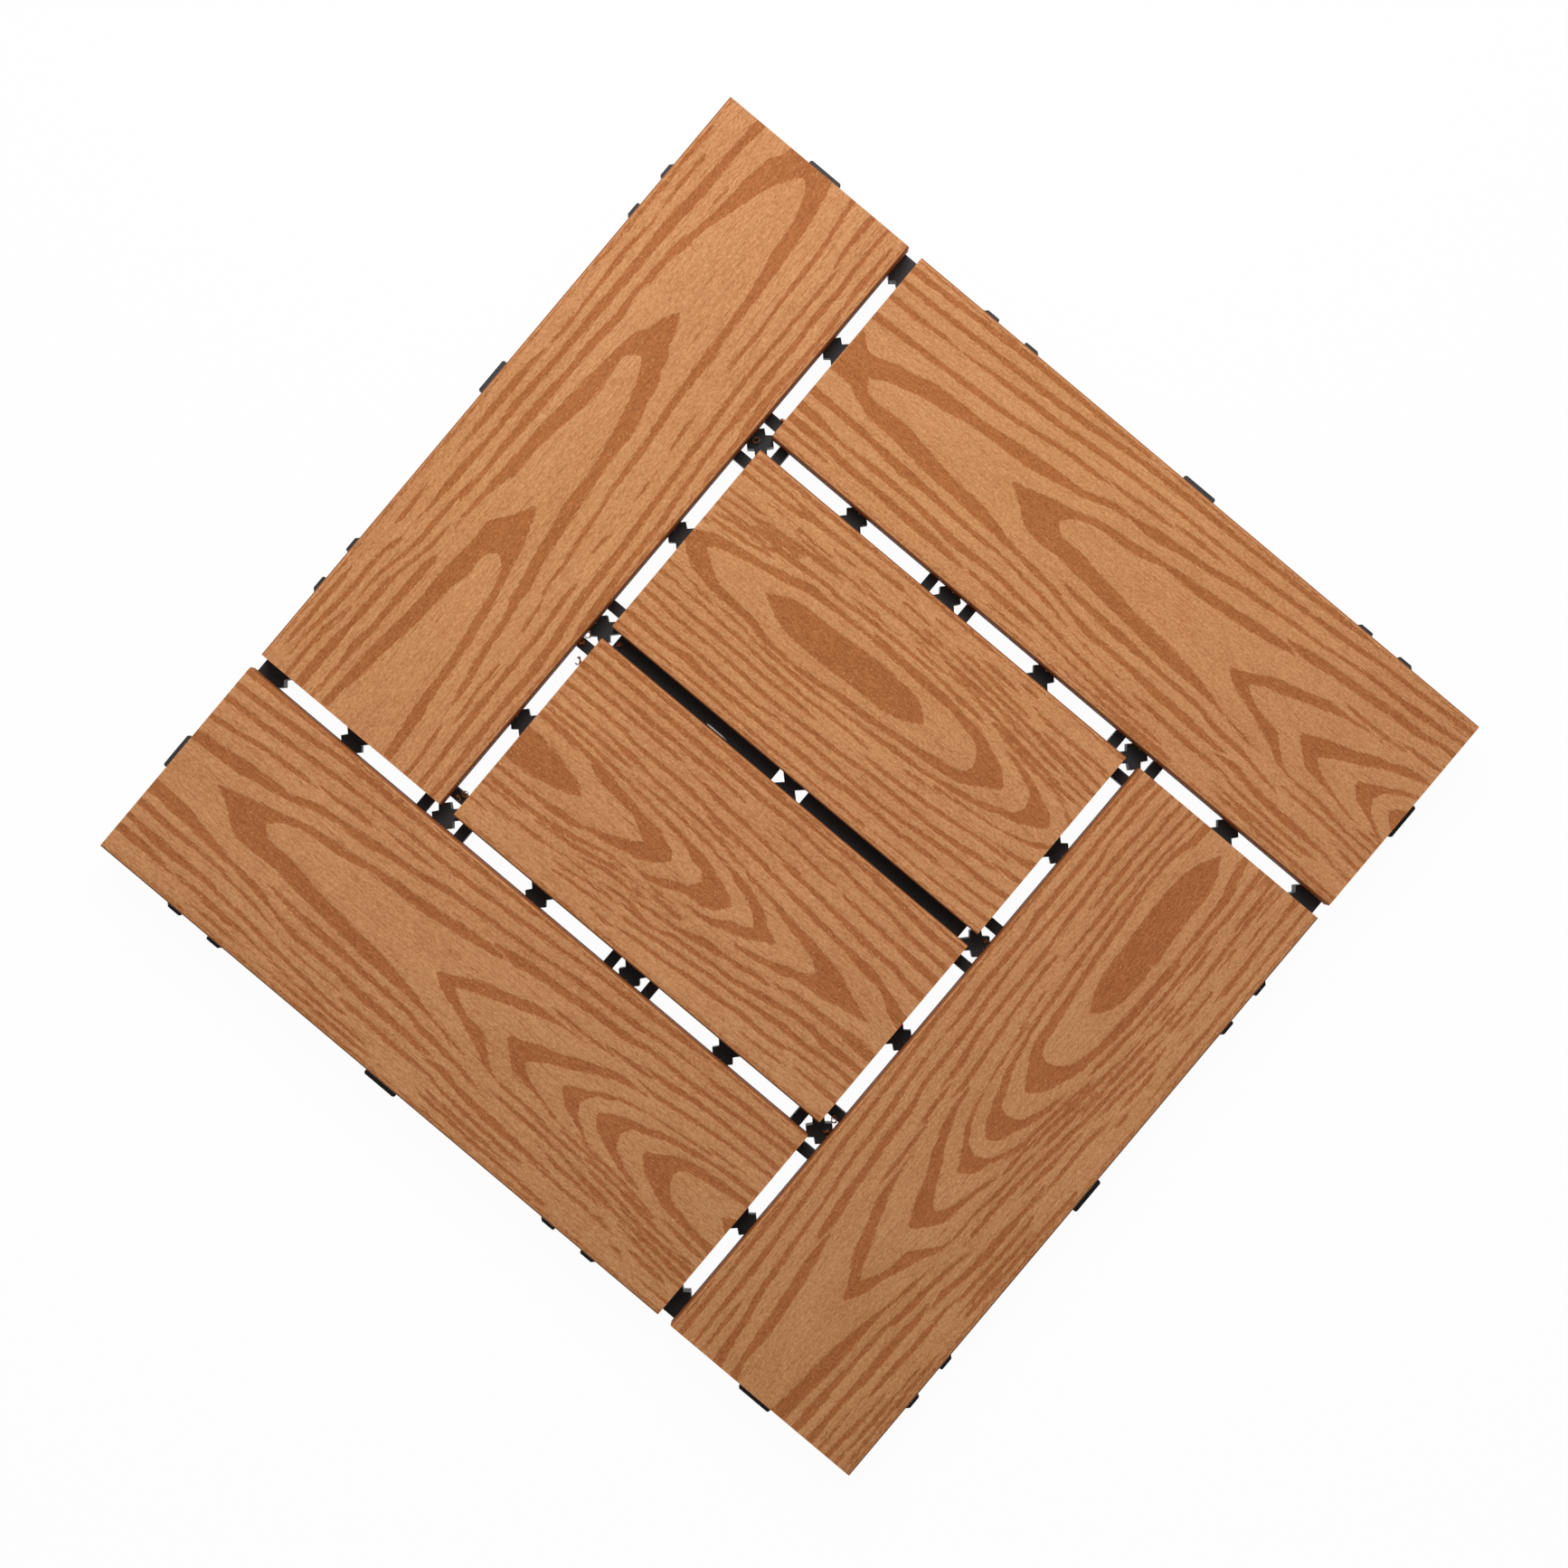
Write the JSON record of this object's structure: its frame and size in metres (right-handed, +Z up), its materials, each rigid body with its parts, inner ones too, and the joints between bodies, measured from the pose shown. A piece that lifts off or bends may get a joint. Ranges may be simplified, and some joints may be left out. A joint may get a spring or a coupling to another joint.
{
  "type": "interlocking deck tile",
  "caption": "Square deck tile: wood-look boards in a pinwheel, screwed to a moulded plastic grid with feet and interlocking edge tabs.",
  "frame": {"origin": "on the ground under the middle of the tile", "axes": "+Z up through the boards; +Y towards the tile's back edge, +X towards its right edge, along the inner boards"},
  "size_m": [0.306, 0.306, 0.022],
  "materials": {
    "grid_plastic": "moulded black polypropylene with a fine matt grain",
    "board_outer_back": "light brown wood-plastic composite with darker figured grain, matt",
    "board_outer_left": "light brown wood-plastic composite with darker figured grain, matt",
    "board_outer_front": "light brown wood-plastic composite with darker figured grain, matt",
    "board_outer_right": "light brown wood-plastic composite with darker figured grain, matt",
    "board_inner_back": "light brown wood-plastic composite with darker figured grain, matt",
    "board_inner_front": "light brown wood-plastic composite with darker figured grain, matt",
    "screw_steel": "zinc-plated steel"
  },
  "bodies": {
    "root": {"base_grid": "grid_plastic", "outer_board_back": "board_outer_back", "outer_board_left": "board_outer_left", "outer_board_front": "board_outer_front", "outer_board_right": "board_outer_right", "inner_board_back": "board_inner_back", "inner_board_front": "board_inner_front", "board_screws": "screw_steel"}
  },
  "joints": []
}
